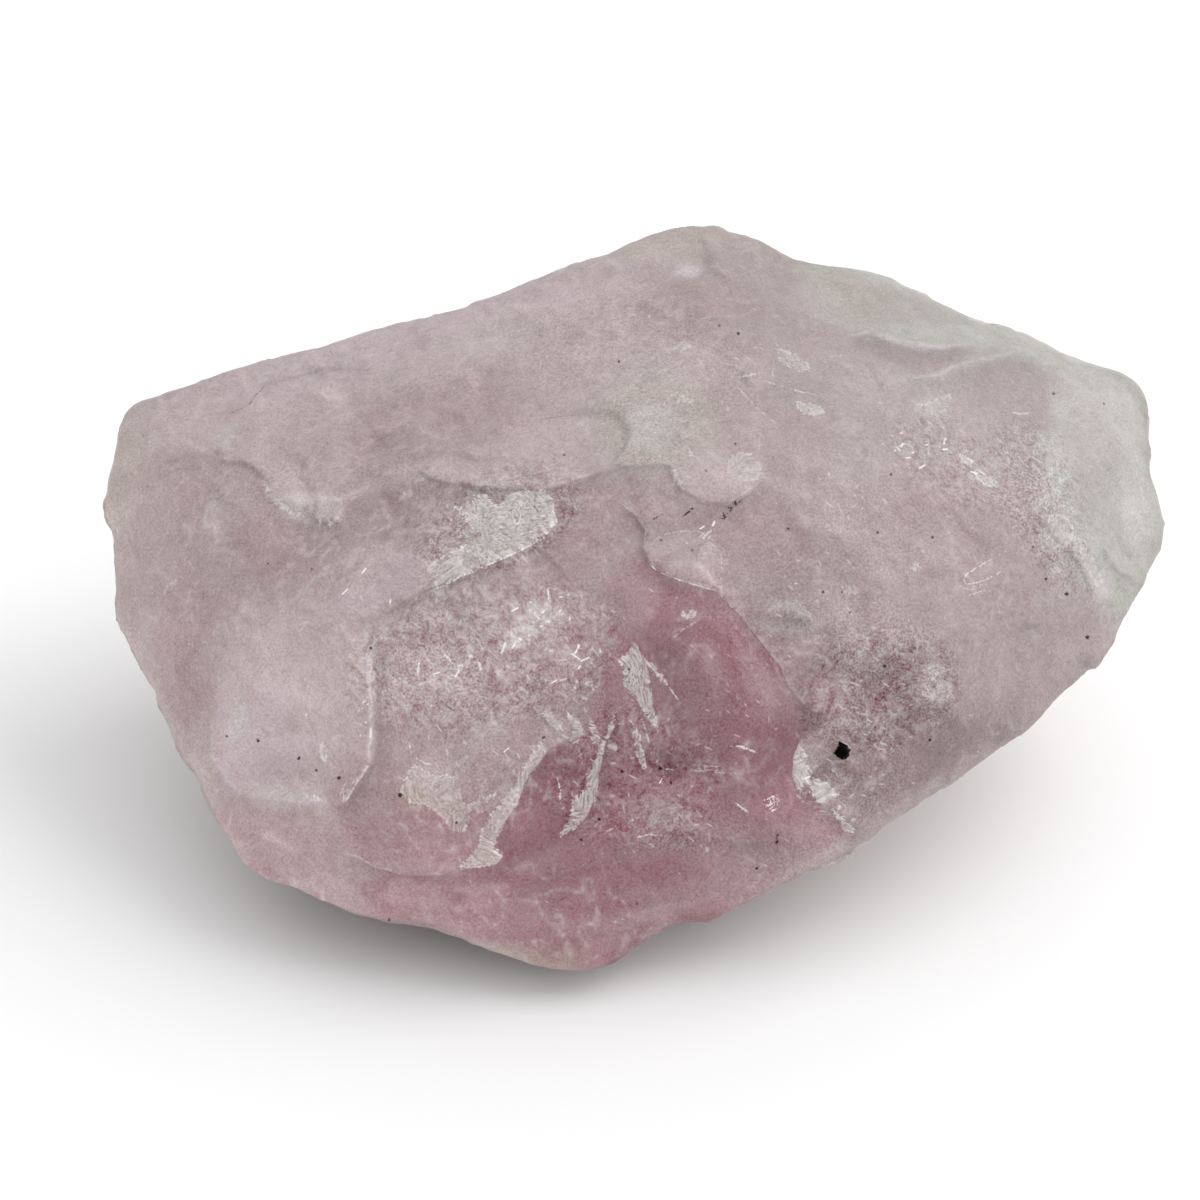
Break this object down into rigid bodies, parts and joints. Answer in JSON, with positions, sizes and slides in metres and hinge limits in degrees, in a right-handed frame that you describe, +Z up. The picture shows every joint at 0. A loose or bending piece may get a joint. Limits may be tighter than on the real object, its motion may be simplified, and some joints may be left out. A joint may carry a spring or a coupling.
{
  "type": "rough gemstone specimen",
  "caption": "Rough broken lump of cloudy pale pink beryl with chipped ledges and a hollow in its front; a mineral specimen that rests on a flat base.",
  "frame": {"origin": "centre of the bounding box at the height of the table, on the flat base", "axes": "+X to the right along the stone's length, +Y away from the viewer, +Z up"},
  "size_m": [0.0756, 0.0472, 0.0352],
  "materials": {
    "beryl": "cloudy translucent crystal, rough broken faces with glittering chips"
  },
  "bodies": {
    "root": {"morganite_stone": "beryl"}
  },
  "joints": []
}
